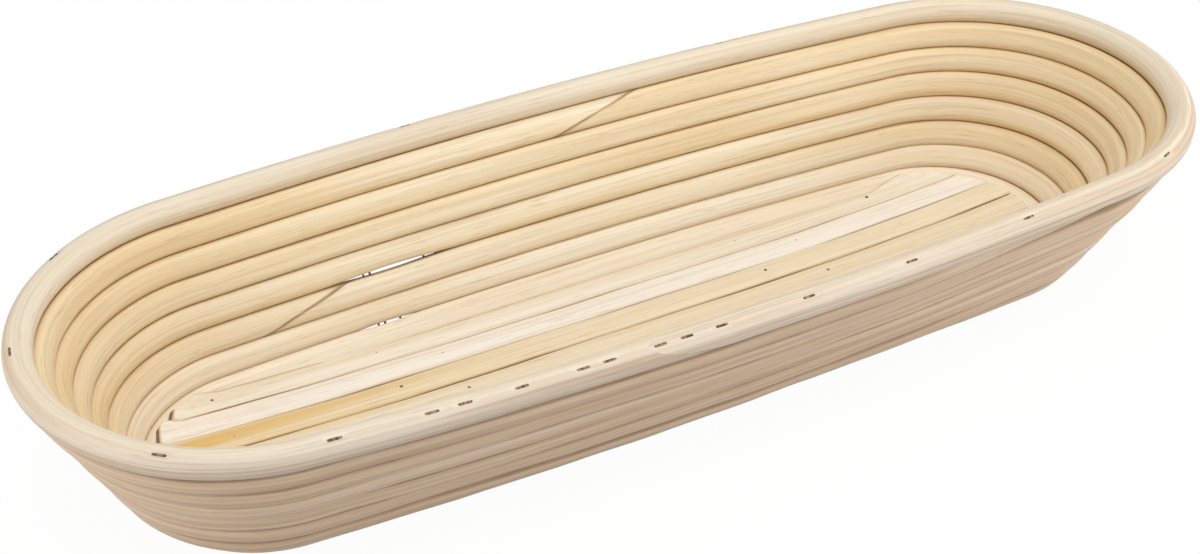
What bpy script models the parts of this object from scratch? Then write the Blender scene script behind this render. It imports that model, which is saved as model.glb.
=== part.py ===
"""Long oval proofing basket wound from round cane, with a slatted floor.

The wall is one spiral of cane in three lengths, scarfed end to end, under a separate rim hoop.
The floor is a row of crowned slats, nailed to cross strips inside the lowest turn of the spiral.
Metres, +Z up, origin under the middle of the basket on the surface that it stands on.
"""
import math

import bmesh
import bpy
import numpy as np
from mathutils import Matrix, Vector

# Overall size and shape of the basket
OVERALL_LENGTH = 0.400
OVERALL_WIDTH = 0.150
WALL_TURNS = 7                      # turns in the wall, with the rim as the first
WALL_ANGLE = math.radians(62.5)     # slope of the long sides above the horizontal
FOOT_ANGLE = math.radians(43.5)     # slope of the last step, from the wall to the floor ring
END_LEAN = 1.12                     # how much further the round ends step in than the long sides
END_ROUND = 0.92                    # radius of an end as a share of the turn's half width
FLOOR_SHIFT = -0.14                 # how far a turn lies towards +X, as a share of how far it steps in

# Cane
CANE_DIAMETER = 0.00800
CANE_GAP = 0.00075                  # between neighbouring turns and between scarfed ends
FOOT_GAP = 0.00140                  # between the floor ring and the turn above it
CANE_SIDES = 6
TIP_RADIUS = 0.0012                 # where a tapered end is cut off
SCARF_LENGTH = 0.038

# Floor
SLAT_COUNT = 7
SLAT_THICKNESS = 0.0032
SLAT_CROWN = 0.0011                 # rise of a slat's rounded top
SLAT_POINTS = 7                     # points across that top
SLAT_REACH = 0.5                    # where on its inner half a slat's square end meets the ring
STRIP_THICKNESS = 0.0015
STRIP_WIDTH = 0.024
STRIP_SHARES = (-0.993, -0.546, 0.546, 0.993)   # places of the strips, in shares of the floor's straight run
BRAD_DIAMETER = 0.0013
BRAD_SIDES = 8
BRAD_STAGGER = 0.0095               # brads in one strip stand in two rows, this far off its middle

# Rim staples
STAPLE_WIRE = 0.0008
STAPLE_CROWN = 0.0050
STAPLE_LEG = 0.0120
# Places along the long sides, in shares of the basket's half length
FRONT_STAPLES = (-0.654, -0.518, -0.470, -0.387, -0.294, -0.254, -0.174, -0.132, -0.075, 0.072, 0.2555, 0.481)
BACK_STAPLES = (0.350, -0.250)
RIM_SCARF = -0.1245                 # middle of the rim's scarf, at the front
END_STAPLES = (-66, -20, 55, 129, 170, 230)    # degrees round the end arcs, from the +X end

CLEARANCE = 0.0003                  # between pieces that touch

# Where things happen along the winding, in turns counted from the +X end towards +Y
ARC_SHARE = 0.45                    # share of a quarter turn that the end arc takes
CLIMB_PLACE = 0.880                 # middle of the stretch where each turn climbs to the next
CLIMB_HALF = 0.085
CLIMB_EASE = 0.2                    # share of the climbing stretch that eases in, and again out
LOWER_SCARF = 0.352                 # in the sixth turn, at the back on the left
UPPER_SCARF = 0.233                 # in the second turn, at the back
ARC_STEPS = 5                       # stations in a quarter turn's end arc
SIDE_STEPS = 3                      # stations in half a long side
CLIMB_STEPS = 8

# Values worked out from those above
RADIUS = CANE_DIAMETER / 2
PITCH = CANE_DIAMETER + CANE_GAP
FOOT_FLAT = CANE_DIAMETER / 10
FLOOR_LEVEL = WALL_TURNS + 1
SLAT_BOTTOM = STRIP_THICKNESS + CLEARANCE
SLAT_TOP = SLAT_BOTTOM + SLAT_THICKNESS

CANE_COLOUR = (0.80, 0.66, 0.46, 1)
RIM_COLOUR = (0.84, 0.74, 0.58, 1)
SLAT_COLOUR = (0.82, 0.68, 0.44, 1)
STRIP_COLOUR = (0.74, 0.58, 0.36, 1)
STEEL_COLOUR = (0.16, 0.11, 0.08, 1)


def clear_scene():
    """Remove every object of the scene."""
    for old in list(bpy.data.objects):
        bpy.data.objects.remove(old)


def material(name, colour, roughness, metallic=0.0):
    """A plain Principled material."""
    made = bpy.data.materials.new(name)
    made.use_nodes = True
    shader = made.node_tree.nodes["Principled BSDF"]
    shader.inputs["Base Color"].default_value = colour
    shader.inputs["Roughness"].default_value = roughness
    shader.inputs["Metallic"].default_value = metallic
    return made


def add_object(name, mesh, finish=None, parent=None):
    """Put a mesh into the scene under a name, with its material and parent."""
    made = bpy.data.objects.new(name, mesh)
    bpy.context.scene.collection.objects.link(made)
    made.parent = parent
    if finish and not mesh.materials:
        mesh.materials.append(finish)
    return made


def add_cutter(name, mesh):
    """A shape that only cuts others."""
    made = add_object(name, mesh)
    made.hide_render = True
    made.display_type = "WIRE"
    return made


def boolean(target, cutter, operation):
    """Cut target with cutter, or keep what they share."""
    made = target.modifiers.new(cutter.name, "BOOLEAN")
    made.operation = operation
    made.solver = "EXACT"
    made.object = cutter


def mesh_from(name, points, faces):
    """A mesh with its faces turned outwards."""
    made = bpy.data.meshes.new(name)
    made.from_pydata([tuple(map(float, p)) for p in points], [], faces)
    shape = bmesh.new()
    shape.from_mesh(made)
    bmesh.ops.recalc_face_normals(shape, faces=shape.faces)
    shape.to_mesh(made)
    shape.free()
    return made


def prism(outline, low, high):
    """Points and faces of an outline in X and Y, drawn up from low to high."""
    count = len(outline)
    points = [(x, y, low) for x, y in outline] + [(x, y, high) for x, y in outline]
    faces = [list(range(count))[::-1], list(range(count, 2 * count))]
    for i in range(count):
        j = (i + 1) % count
        faces.append([i, j, count + j, count + i])
    return points, faces


def joined(name, shapes):
    """One mesh of several closed shapes that stay apart."""
    points, faces = [], []
    for shape_points, shape_faces in shapes:
        start = len(points)
        points += list(shape_points)
        faces += [[start + i for i in face] for face in shape_faces]
    return mesh_from(name, points, faces)


def level_tables():
    """Step in and height of each level: 1 is the rim, FLOOR_LEVEL the floor ring, and one more below."""
    slopes = [WALL_ANGLE] * (WALL_TURNS - 1) + [FOOT_ANGLE] * 2
    steps = np.array([PITCH] * (WALL_TURNS - 1) + [CANE_DIAMETER + FOOT_GAP] * 2)
    inward = np.concatenate([[0], np.cumsum(steps * np.cos(slopes))])
    drop = np.concatenate([[0], np.cumsum(steps * np.sin(slopes))])
    height = drop[FLOOR_LEVEL - 1] - drop + RADIUS - FOOT_FLAT
    return np.arange(1, FLOOR_LEVEL + 2), inward, height


LEVELS, INWARD, HEIGHT = level_tables()


def oval_size(level, inset=0.0):
    """Half length, half width, end radius and side radius of the oval of a level, drawn in by inset."""
    inward = np.interp(level, LEVELS, INWARD)
    width = OVERALL_WIDTH / 2 - RADIUS - inward
    end = END_ROUND * width - inset
    length = OVERALL_LENGTH / 2 - RADIUS - END_LEAN * inward - inset
    width = width - inset
    side = ((length - end) ** 2 + width ** 2 - end ** 2) / (2 * (width - end))
    return length, width, end, side


def off_middle(level):
    """How far the middle of a level lies from the middle of the rim, along X."""
    return FLOOR_SHIFT * np.interp(level, LEVELS, INWARD)


def oval_point(turn, level, inset=0.0):
    """X and Y of a point on a level's four-centred oval; a full turn is 1, from the +X end towards +Y."""
    length, width, end, side = oval_size(level, inset)
    meet = np.arctan2(side - width, length - end)
    quarter, along = np.divmod(np.mod(turn, 1.0) * 4, 1)
    along = np.where(quarter % 2 == 1, 1 - along, along)
    on_end = along < ARC_SHARE
    end_angle = meet * along / ARC_SHARE
    side_angle = meet + (np.pi / 2 - meet) * (along - ARC_SHARE) / (1 - ARC_SHARE)
    x = np.where(on_end, length - end + end * np.cos(end_angle), side * np.cos(side_angle))
    y = np.where(on_end, end * np.sin(end_angle), width - side + side * np.sin(side_angle))
    x = np.where((quarter == 1) | (quarter == 2), -x, x) + off_middle(level)
    y = np.where(quarter >= 2, -y, y)
    return x, y


def wall_point(turn, level):
    """Point of the wall's middle surface at a place round the basket and a level."""
    turn, level = np.broadcast_arrays(turn, level)
    x, y = oval_point(turn, level)
    return np.stack([x, y, np.interp(level, LEVELS, HEIGHT)], axis=-1)


def unit(vectors):
    """Vectors of length 1."""
    return vectors / np.linalg.norm(vectors, axis=-1, keepdims=True)


def wall_frame(turn, level):
    """Directions along the cane, up the wall, and outwards, at a place on the wall."""
    step = 1e-4
    along = unit(wall_point(turn + step, level) - wall_point(turn - step, level))
    up = wall_point(turn, level - 0.5) - wall_point(turn, level + 0.5)
    up = unit(up - along * np.sum(up * along, axis=-1, keepdims=True))
    return along, up, np.cross(along, up)


def eased(share):
    """A ramp from 0 to 1 that starts and ends softly and is straight between."""
    share = np.clip(share, 0, 1)
    bend = 2 * CLIMB_EASE * (1 - CLIMB_EASE)
    straight = (share - CLIMB_EASE / 2) / (1 - CLIMB_EASE)
    ramp = np.where(share < CLIMB_EASE, share ** 2 / bend, straight)
    return np.where(share > 1 - CLIMB_EASE, 1 - (1 - share) ** 2 / bend, ramp)


def climb(turn):
    """Levels climbed after a count of turns from the start: whole steps, each over the climbing stretch."""
    nearest = np.round(turn)
    return nearest - 1 + eased((turn - nearest + CLIMB_HALF) / (2 * CLIMB_HALF))


def spiral(turn):
    """Place round the basket, level and radius of the wall's winding after a count of turns.

    Both ends taper against the turn that climbs past them: their thickness is the room it leaves.
    """
    last = WALL_TURNS
    risen = climb(turn)
    level = FLOOR_LEVEL - np.clip(risen, 0, last - 1)
    room = np.where(turn < 0.5, 1 + risen, 1 - (risen - (last - 1)))
    room = np.clip(room, 0, 1)
    radius = np.minimum((PITCH * room - CANE_GAP) / 2, RADIUS)
    shift = (RADIUS - radius) / PITCH
    level = level + np.where(turn < 0.5, shift, -shift)
    return turn + CLIMB_PLACE, level, radius


def tip_turn():
    """How far from the middle of the climbing stretch a tapered end is cut off, in turns."""
    share = np.linspace(0, 1, 2001)
    cut = np.interp((2 * TIP_RADIUS + CANE_GAP) / PITCH, eased(share), share)
    return (cut * 2 - 1) * CLIMB_HALF


def stations(first, last):
    """Places between two counts of turns: even steps in the arcs and sides, finer where a turn climbs."""
    arc = np.linspace(0, ARC_SHARE, ARC_STEPS + 1)
    side = np.linspace(ARC_SHARE, 1, SIDE_STEPS + 1)[1:]
    quarter = np.concatenate([arc, side])
    half = np.concatenate([quarter, 2 - quarter[-2::-1]]) / 4
    loop = np.concatenate([half[:-1], 0.5 + half[:-1]]) - CLIMB_PLACE
    ramp = np.linspace(-CLIMB_HALF, CLIMB_HALF, CLIMB_STEPS + 1)
    loop = np.mod(loop, 1)
    loop = loop[(loop > CLIMB_HALF) & (loop < 1 - CLIMB_HALF)]
    whole = np.arange(math.floor(first) - 1, math.ceil(last) + 2)[:, None]
    places = np.sort(np.concatenate([(whole + loop).ravel(), (whole + ramp).ravel()]))
    return places[(places > first) & (places < last)]


def scarf_half():
    """Half of a scarf's length, in turns, on a long side."""
    step = 1e-3
    ends = wall_point(np.array([0.25 - step, 0.25 + step]), 1)
    return SCARF_LENGTH / 2 / (np.linalg.norm(ends[1] - ends[0]) / (2 * step))


SCARF_HALF = scarf_half()
SCARF_SHIFT = SCARF_HALF * CANE_GAP / CANE_DIAMETER


def cane(name, first, last, path, finish, parent, first_cut, last_cut):
    """A length of cane along a path: rings of CANE_SIDES points, with its cut ends slanted as scarfs.

    A scarf moves each point of the end ring along the cane by its height on the section.
    """
    reach = 2 * SCARF_HALF
    inner = stations(first + reach * first_cut, last - reach * last_cut)
    turns = np.concatenate([[first], inner, [last]])
    slant = np.zeros(len(turns))
    slant[0] = first_cut * SCARF_HALF
    slant[-1] = last_cut * SCARF_HALF
    angle = np.arange(CANE_SIDES) * 2 * np.pi / CANE_SIDES
    turns = turns[:, None] - slant[:, None] * np.cos(angle)
    place, level, radius = path(turns)
    along, up, out = wall_frame(place, level)
    offset = up * np.cos(angle)[:, None] - out * np.sin(angle)[:, None]
    points = wall_point(place, level) + radius[..., None] * offset
    rings = len(turns)
    faces = [list(range(CANE_SIDES))[::-1]]
    for ring in range(rings - 1):
        for side in range(CANE_SIDES):
            here = ring * CANE_SIDES + side
            beside = ring * CANE_SIDES + (side + 1) % CANE_SIDES
            faces.append([here, beside, beside + CANE_SIDES, here + CANE_SIDES])
    faces.append([(rings - 1) * CANE_SIDES + side for side in range(CANE_SIDES)])
    made = add_object(name, mesh_from(name, points.reshape(-1, 3), faces), finish, parent)
    made.data.shade_smooth()
    made.data.set_sharp_from_angle(angle=math.radians(70))
    report_gap(name, first, last, path, points)
    return made


def report_gap(name, first, last, path, rings):
    """Print the least gap of a length of cane to itself.

    It is measured on points of its middle line and, on a hoop, between its two slanted end faces.
    """
    turns = np.linspace(first + SCARF_HALF, last - SCARF_HALF, int((last - first) * 400))
    place, level, radius = path(turns)
    points = wall_point(place, level)
    least = math.inf
    for i in range(len(turns)):
        far = np.abs(turns - turns[i]) > 0.4
        if far.any():
            apart = np.linalg.norm(points[far] - points[i], axis=1) - radius[far] - radius[i]
            least = min(least, apart.min())
    if path is rim_path:
        face = rings[-1]
        across = unit(np.cross(face[2] - face[0], face[4] - face[0]))
        least = min(least, np.abs((rings[0] - face[0]) @ across).min())
    if math.isfinite(least):
        print(f"least gap of {name} to itself: {least * 1000:.3f} mm")


def rim_meet():
    """Angle at which the rim's end arcs meet its long sides."""
    length, width, end, side = oval_size(1)
    return math.atan2(side - width, length - end)


def side_turn(share, front):
    """Place round the rim, in turns, of a share of the half length along a long side."""
    meet = rim_meet()
    angle = math.acos(abs(share) * OVERALL_LENGTH / 2 / oval_size(1)[3])
    along = ARC_SHARE + (1 - ARC_SHARE) * (angle - meet) / (math.pi / 2 - meet)
    turn = along / 4 if share > 0 else 0.5 - along / 4
    return 1 - turn if front else turn


def rim_path(turn):
    """Place round the basket, level and radius of the rim hoop."""
    return turn, np.ones_like(turn), np.full_like(turn, RADIUS)


def make_canes(parent):
    """The three lengths of the wall's winding and the rim hoop; returns them."""
    finish = material("cane", CANE_COLOUR, 0.55)
    rim_finish = material("rim_cane", RIM_COLOUR, 0.55)
    scarf_a = 2 + LOWER_SCARF + 1 - CLIMB_PLACE
    scarf_b = WALL_TURNS + UPPER_SCARF - CLIMB_PLACE
    scarf_c = side_turn(RIM_SCARF, True)
    gap = SCARF_SHIFT
    tip = tip_turn()
    lower = cane("lower_cane", tip, scarf_a - gap, spiral, finish, parent, 0, 1)
    middle = cane("middle_cane", scarf_a + gap, scarf_b - gap, spiral, finish, parent, 1, 1)
    upper = cane("upper_cane", scarf_b + gap, WALL_TURNS - tip, spiral, finish, parent, 1, 0)
    rim = cane("rim_cane", scarf_c + gap, scarf_c + 1 - gap, rim_path, rim_finish, parent, 1, 1)
    return lower, middle, upper, rim


def cut_foot(lower):
    """Cut the floor ring flat where the basket stands."""
    half_x, half_y = OVERALL_LENGTH / 2, OVERALL_WIDTH / 2
    outline = [(-half_x, -half_y), (half_x, -half_y), (half_x, half_y), (-half_x, half_y)]
    below = add_cutter("below_the_foot", mesh_from("below_the_foot", *prism(outline, -CANE_DIAMETER, 0)))
    boolean(lower, below, "DIFFERENCE")


def staple_shape(swell):
    """A staple, or with a swell its slot: a U of square wire; X along the crown, Z up, crown top at 0."""
    half = STAPLE_CROWN / 2 + swell
    inner = STAPLE_CROWN / 2 - STAPLE_WIRE - swell
    top, under, foot = swell, -STAPLE_WIRE - swell, -STAPLE_LEG - swell
    if swell:
        top = CANE_DIAMETER / 2
    outline = [(-half, top), (-half, foot), (-inner, foot), (-inner, under)]
    outline += [(inner, under), (inner, foot), (half, foot), (half, top)]
    thick = STAPLE_WIRE / 2 + swell
    points, faces = prism(outline, -thick, thick)
    return [(x, -y, z) for x, z, y in points], faces


def staple_places():
    """Place round the rim of each staple, in turns."""
    places = [side_turn(share, True) for share in FRONT_STAPLES]
    places += [side_turn(share, False) for share in BACK_STAPLES]
    meet = rim_meet()
    for degrees in END_STAPLES:
        right = -90 < degrees < 90
        angle = math.radians(degrees if right else 180 - degrees)
        along = ARC_SHARE * angle / meet / 4
        places.append(along if right else 0.5 - along)
    return sorted(place % 1 for place in places)


def make_staples(canes, parent):
    """Staples through the rim into the turn below, each in its own slot."""
    finish = material("staple_steel", STEEL_COLOUR, 0.5, 0.8)
    points, faces = staple_shape(0)
    mesh = mesh_from("rim_staple", points, faces)
    slot_points, slot_faces = staple_shape(CLEARANCE)
    slots = []
    for number, turn in enumerate(staple_places(), 1):
        along, up, out = (Vector(v) for v in wall_frame(np.array(turn), np.array(1.0)))
        seat = Vector(wall_point(np.array(turn), np.array(1.0))) + up * RADIUS
        frame = Matrix((along, -out, up)).transposed().to_4x4()
        frame.translation = seat
        made = add_object(f"rim_staple_{number:02d}", mesh, finish, parent)
        made.matrix_world = frame
        slots.append(([frame @ Vector(p) for p in slot_points], slot_faces))
    cutter = add_cutter("staple_slots", joined("staple_slots", slots))
    for piece in canes:
        boolean(piece, cutter, "DIFFERENCE")


def floor_inset():
    """How far the floor's outline lies inside the middle line of the floor ring."""
    return RADIUS + CLEARANCE


def floor_outline():
    """Outline of the space inside the floor ring, less a clearance."""
    turns = stations(0, 1.0 - 1e-9) + CLIMB_PLACE
    x, y = oval_point(turns, np.full_like(turns, FLOOR_LEVEL), floor_inset())
    order = np.argsort(np.mod(turns, 1))
    return list(zip(x[order], y[order]))


def slat_rows():
    """Middle Y and half width of each slat."""
    width = float(oval_size(FLOOR_LEVEL, floor_inset())[1])
    pitch = 2 * width / SLAT_COUNT
    middle = (SLAT_COUNT - 1) / 2
    return [((i - middle) * pitch, (pitch - CLEARANCE) / 2) for i in range(SLAT_COUNT)]


def slat_length(y, half):
    """Half length of a slat, to where a line between its middle and its inner edge meets the ring."""
    length, _, end, _ = (float(size) for size in oval_size(FLOOR_LEVEL, floor_inset()))
    line = max(abs(y) - SLAT_REACH * half, 0)
    return length - end + math.sqrt(end ** 2 - line ** 2)


def slat_shape(y, half):
    """A slat along X with a flat underside and a rounded top."""
    across = np.linspace(-1, 1, SLAT_POINTS)
    outline = [(-half, SLAT_BOTTOM), (half, SLAT_BOTTOM)]
    outline += [(half * s, SLAT_TOP - SLAT_CROWN * s * s) for s in across[::-1]]
    reach, middle = slat_length(y, half), float(off_middle(FLOOR_LEVEL))
    points, faces = prism(outline, -reach, reach)
    return [(middle + x, y + across_y, z) for across_y, z, x in points], faces


def strip_places():
    """Middle X of each cross strip; the straight run ends at the centres of the end arcs."""
    length, _, end, _ = oval_size(FLOOR_LEVEL)
    return [float(off_middle(FLOOR_LEVEL) + share * (length - end)) for share in STRIP_SHARES]


def brad_places():
    """Place of each brad: every slat on the inner strips, every other slat on the outer ones."""
    outer = max(STRIP_SHARES)
    places = []
    for share, x in zip(STRIP_SHARES, strip_places()):
        for row, (y, _) in enumerate(slat_rows()):
            if abs(share) < outer or row % 2 == 0:
                side = 1 if row % 2 else -1
                places.append((x + side * BRAD_STAGGER, y))
    return places


def cylinder(x, y, radius, low, high):
    """A round pin standing on X and Y."""
    angles = np.arange(BRAD_SIDES) * 2 * np.pi / BRAD_SIDES
    return prism(list(zip(x + radius * np.cos(angles), y + radius * np.sin(angles))), low, high)


def make_floor(parent):
    """Slats and cross strips inside the floor ring, and the brads that hold them together."""
    slat_finish = material("slat_cane", SLAT_COLOUR, 0.5)
    strip_finish = material("strip_cane", STRIP_COLOUR, 0.6)
    brad_finish = material("brad_steel", STEEL_COLOUR, 0.5, 0.8)
    ring = add_cutter("inside_the_ring", mesh_from(
        "inside_the_ring", *prism(floor_outline(), -SLAT_TOP, 2 * SLAT_TOP)))
    hole = BRAD_DIAMETER / 2 + CLEARANCE
    holes = add_cutter("brad_holes", joined("brad_holes", [
        cylinder(x, y, hole, -SLAT_TOP, 2 * SLAT_TOP) for x, y in brad_places()]))
    for number, (y, half) in enumerate(slat_rows(), 1):
        name = f"floor_slat_{number}"
        slat = add_object(name, mesh_from(name, *slat_shape(y, half)), slat_finish, parent)
        boolean(slat, ring, "INTERSECT")
        boolean(slat, holes, "DIFFERENCE")
    reach = OVERALL_WIDTH / 2
    for number, x in enumerate(strip_places(), 1):
        name = f"cross_strip_{number}"
        low, high = x - STRIP_WIDTH / 2, x + STRIP_WIDTH / 2
        outline = [(low, -reach), (high, -reach), (high, reach), (low, reach)]
        strip = add_object(name, mesh_from(name, *prism(outline, 0, STRIP_THICKNESS)), strip_finish, parent)
        boolean(strip, ring, "INTERSECT")
        boolean(strip, holes, "DIFFERENCE")
    brad = mesh_from("floor_brad", *cylinder(0, 0, BRAD_DIAMETER / 2, CLEARANCE, SLAT_TOP))
    for number, (x, y) in enumerate(brad_places(), 1):
        made = add_object(f"floor_brad_{number:02d}", brad, brad_finish, parent)
        made.location = (x, y, 0)


def build():
    """Make the basket."""
    clear_scene()
    basket = bpy.data.objects.new("basket", None)
    bpy.context.scene.collection.objects.link(basket)
    lower, middle, upper, rim = make_canes(basket)
    cut_foot(lower)
    make_staples((middle, upper, rim), basket)
    make_floor(basket)


build()
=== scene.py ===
import math

import bpy
import numpy as np
from mathutils import Matrix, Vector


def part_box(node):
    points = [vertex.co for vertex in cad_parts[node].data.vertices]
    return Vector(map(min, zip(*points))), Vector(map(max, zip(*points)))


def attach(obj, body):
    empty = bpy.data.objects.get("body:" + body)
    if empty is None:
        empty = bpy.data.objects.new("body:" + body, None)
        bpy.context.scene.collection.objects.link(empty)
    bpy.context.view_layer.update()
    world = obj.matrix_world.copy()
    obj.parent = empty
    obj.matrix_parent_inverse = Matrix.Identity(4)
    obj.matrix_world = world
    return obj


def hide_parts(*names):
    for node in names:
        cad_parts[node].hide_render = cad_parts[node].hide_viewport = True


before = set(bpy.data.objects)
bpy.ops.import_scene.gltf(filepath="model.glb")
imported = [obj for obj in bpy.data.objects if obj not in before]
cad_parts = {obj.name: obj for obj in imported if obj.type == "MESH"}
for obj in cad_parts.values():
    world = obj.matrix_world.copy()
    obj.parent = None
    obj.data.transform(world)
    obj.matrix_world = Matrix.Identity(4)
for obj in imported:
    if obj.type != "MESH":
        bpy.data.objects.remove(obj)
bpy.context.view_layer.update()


# Cross strips: four thin strips of split cane that lie across the basket under the slats. They are riven
# from thick cane, left rough, trimmed to the floor ring, and carry the ends of the brads.

class Wire:
    """A socket of a material's nodes. Sums of wires add Math nodes, and node() adds any other node."""

    def __init__(self, tree, socket=None):
        self.tree = tree
        self.socket = socket

    def node(self, kind, settings, sockets, output=0):
        """A node of a kind: its settings first, then values or wires on its sockets; gives one output."""
        made = self.tree.nodes.new(kind)
        for name, value in settings.items():
            setattr(made, name, value)
        for name, value in sockets.items():
            if isinstance(value, Wire):
                self.tree.links.new(value.socket, made.inputs[name])
            else:
                made.inputs[name].default_value = value
        return Wire(self.tree, made.outputs[output])

    def sum(self, operation, first, second=0.0):
        """A Math node on one or two values or wires."""
        return self.node("ShaderNodeMath", {"operation": operation}, {0: first, 1: second})

    def __add__(self, other):
        return self.sum("ADD", self, other)

    __radd__ = __add__

    def __sub__(self, other):
        return self.sum("SUBTRACT", self, other)

    def __rsub__(self, other):
        return self.sum("SUBTRACT", other, self)

    def __mul__(self, other):
        return self.sum("MULTIPLY", self, other)

    __rmul__ = __mul__

    def __abs__(self):
        return self.sum("ABSOLUTE", self)

    def step(self, low, high):
        """0 below low, 1 above high, and soft between."""
        sockets = {"Value": self, "From Min": low, "From Max": high}
        return self.node("ShaderNodeMapRange", {"interpolation_type": "SMOOTHSTEP"}, sockets)

    def between(self, first, second):
        """The colour that lies this share of the way from the first colour to the second."""
        sockets = {0: self, 6: first, 7: second}
        return self.node("ShaderNodeMix", {"data_type": "RGBA"}, sockets, 2)

    def part(self, axis):
        """One of the three numbers of a place: 0, 1 or 2 for X, Y or Z."""
        return self.node("ShaderNodeSeparateXYZ", {}, {"Vector": self}, axis)

    def cloud(self, stretch, detail=3.0, rough=0.55):
        """Noise over a place that is first stretched along each axis."""
        place = self.node("ShaderNodeMapping", {}, {"Vector": self, "Scale": stretch})
        sockets = {"Vector": place, "Scale": 1.0, "Detail": detail, "Roughness": rough}
        return self.node("ShaderNodeTexNoise", {}, sockets)


def paint(name, shade, **fixed):
    """A material whose colour, roughness and height come from shade(wire); fixed values go on the shader."""
    made = bpy.data.materials.new(name)
    made.use_nodes = True
    shader = made.node_tree.nodes["Principled BSDF"]
    colour, rough, height, depth = shade(Wire(made.node_tree))
    made.node_tree.links.new(colour.socket, shader.inputs["Base Color"])
    made.node_tree.links.new(rough.socket, shader.inputs["Roughness"])
    bump = height.node("ShaderNodeBump", {}, {"Strength": 1.0, "Distance": depth, "Height": height})
    made.node_tree.links.new(bump.socket, shader.inputs["Normal"])
    for socket, value in fixed.items():
        shader.inputs[socket].default_value = value
    return made


def skin(name, parts, finish, sharp=50, **attributes):
    """A mesh over lists of rings: quads join each ring to the next, and the end rings are capped."""
    points, loops, totals, start = [], [], [], 0
    for rings in parts:
        count, around = rings.shape[:2]
        corner = np.arange(count * around).reshape(count, around) + start
        beside = np.roll(corner, -1, axis=1)
        quads = np.stack([corner[:-1], beside[:-1], beside[1:], corner[1:]], axis=-1).reshape(-1, 4)
        flat = rings.reshape(-1, 3)
        a, b, c, d = (flat[quads[:, i] - start] for i in range(4))
        inside_out = np.sum((a - flat.mean(axis=0)) * np.cross(c - a, d - b)) < 0
        if inside_out:
            quads = quads[:, ::-1]
        caps = (corner[0], corner[-1][::-1]) if inside_out else (corner[0][::-1], corner[-1])
        loops += [quads.ravel(), caps[0], caps[1]]
        totals += [np.full(len(quads), 4), [around], [around]]
        points.append(flat)
        start += len(flat)
    points, loops, totals = (np.concatenate(each) for each in (points, loops, totals))
    mesh = bpy.data.meshes.new(name)
    mesh.vertices.add(len(points))
    mesh.vertices.foreach_set("co", points.ravel())
    mesh.loops.add(len(loops))
    mesh.loops.foreach_set("vertex_index", loops)
    mesh.polygons.add(len(totals))
    mesh.polygons.foreach_set("loop_start", np.cumsum(totals) - totals)
    mesh.polygons.foreach_set("loop_total", totals)
    mesh.update(calc_edges=True)
    mesh.shade_smooth()
    mesh.set_sharp_from_angle(angle=math.radians(sharp))
    for key, values in attributes.items():
        wide = values.ndim == 2
        made = mesh.attributes.new(key, "FLOAT_VECTOR" if wide else "FLOAT", "POINT")
        made.data.foreach_set("vector" if wide else "value", values.ravel())
    mesh.materials.append(finish)
    piece = bpy.data.objects.new(name, mesh)
    bpy.context.scene.collection.objects.link(piece)
    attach(piece, "root")
    return piece


def waves(run, seed, parts):
    """A sum of sines along a run; each part gives its height, its rate and its share of the seed as phase."""
    return sum(height * np.sin(run * rate + seed * phase) for height, rate, phase in parts)


def strip_shade(wire):
    """Rough riven cane: pale brown with long dark streaks across the basket."""
    light, tan, dark = (0.66, 0.52, 0.35, 1), (0.56, 0.41, 0.25, 1), (0.34, 0.22, 0.11, 1)
    place = wire.node("ShaderNodeTexCoord", {}, {}, "Object")
    streak = place.cloud((900, 30, 900))
    colour = place.cloud((60, 25, 60), 1.0).between(light, tan)
    colour = (streak.step(0.45, 0.75) * 0.5).between(colour, dark)
    return colour, 0.62 + 0.2 * streak, streak, 0.0003


STRIP_COUNT, STRIP_AROUND = 4, 24
STRIP_ROUND, STRIP_END_SHARE = 0.00045, 0.94
STRIP_WAVES = [(0.0003, 5, 1)]

strip_finish = paint("riven_cane", strip_shade)
angle = np.linspace(0, 2 * np.pi, STRIP_AROUND, endpoint=False) + np.pi / STRIP_AROUND
strip_share = np.concatenate([[-1, -0.998], np.linspace(-0.99, 0.99, 40), [0.998, 1]])
narrow = np.where(np.abs(strip_share) == 1, STRIP_END_SHARE, 1)
for number in range(1, STRIP_COUNT + 1):
    low, high = (np.array(corner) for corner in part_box(f"cross_strip_{number}"))
    middle, half = (low + high) / 2, (high - low) / 2
    corner_x = np.sign(np.cos(angle)) * (half[0] - STRIP_ROUND) + STRIP_ROUND * np.cos(angle)
    corner_z = np.sign(np.sin(angle)) * (half[2] - STRIP_ROUND) + STRIP_ROUND * np.sin(angle)
    wander = waves(strip_share, number, STRIP_WAVES)
    x = middle[0] + corner_x * narrow[:, None] + wander[:, None]
    y = np.broadcast_to((middle[1] + strip_share * half[1])[:, None], x.shape)
    z = middle[2] + corner_z * narrow[:, None]
    strip = skin(f"strip_{number}", [np.stack([x, y, z], axis=-1)], strip_finish)
    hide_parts(f"cross_strip_{number}")


# Floor slats: seven lengths of thick cane split and planed flat below, rounded above, laid side by side along
# the basket, sawn off in steps to follow the ring and lapped on it. Their tones differ from cane to cane.

LENGTH, WIDTH = 0.400, 0.150
CANE_RADIUS, FOOT_SHARE = 0.004, 0.8
PITCH, FOOT_STEP = 0.00875, 0.0094
WALL_SLOPE, FOOT_SLOPE = math.radians(62.5), math.radians(43.5)
WALL_LEVELS, FLOOR_LEVEL = 7, 8
END_LEAN, END_ROUND, FLOOR_SHIFT = 1.12, 0.92, -0.14

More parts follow.
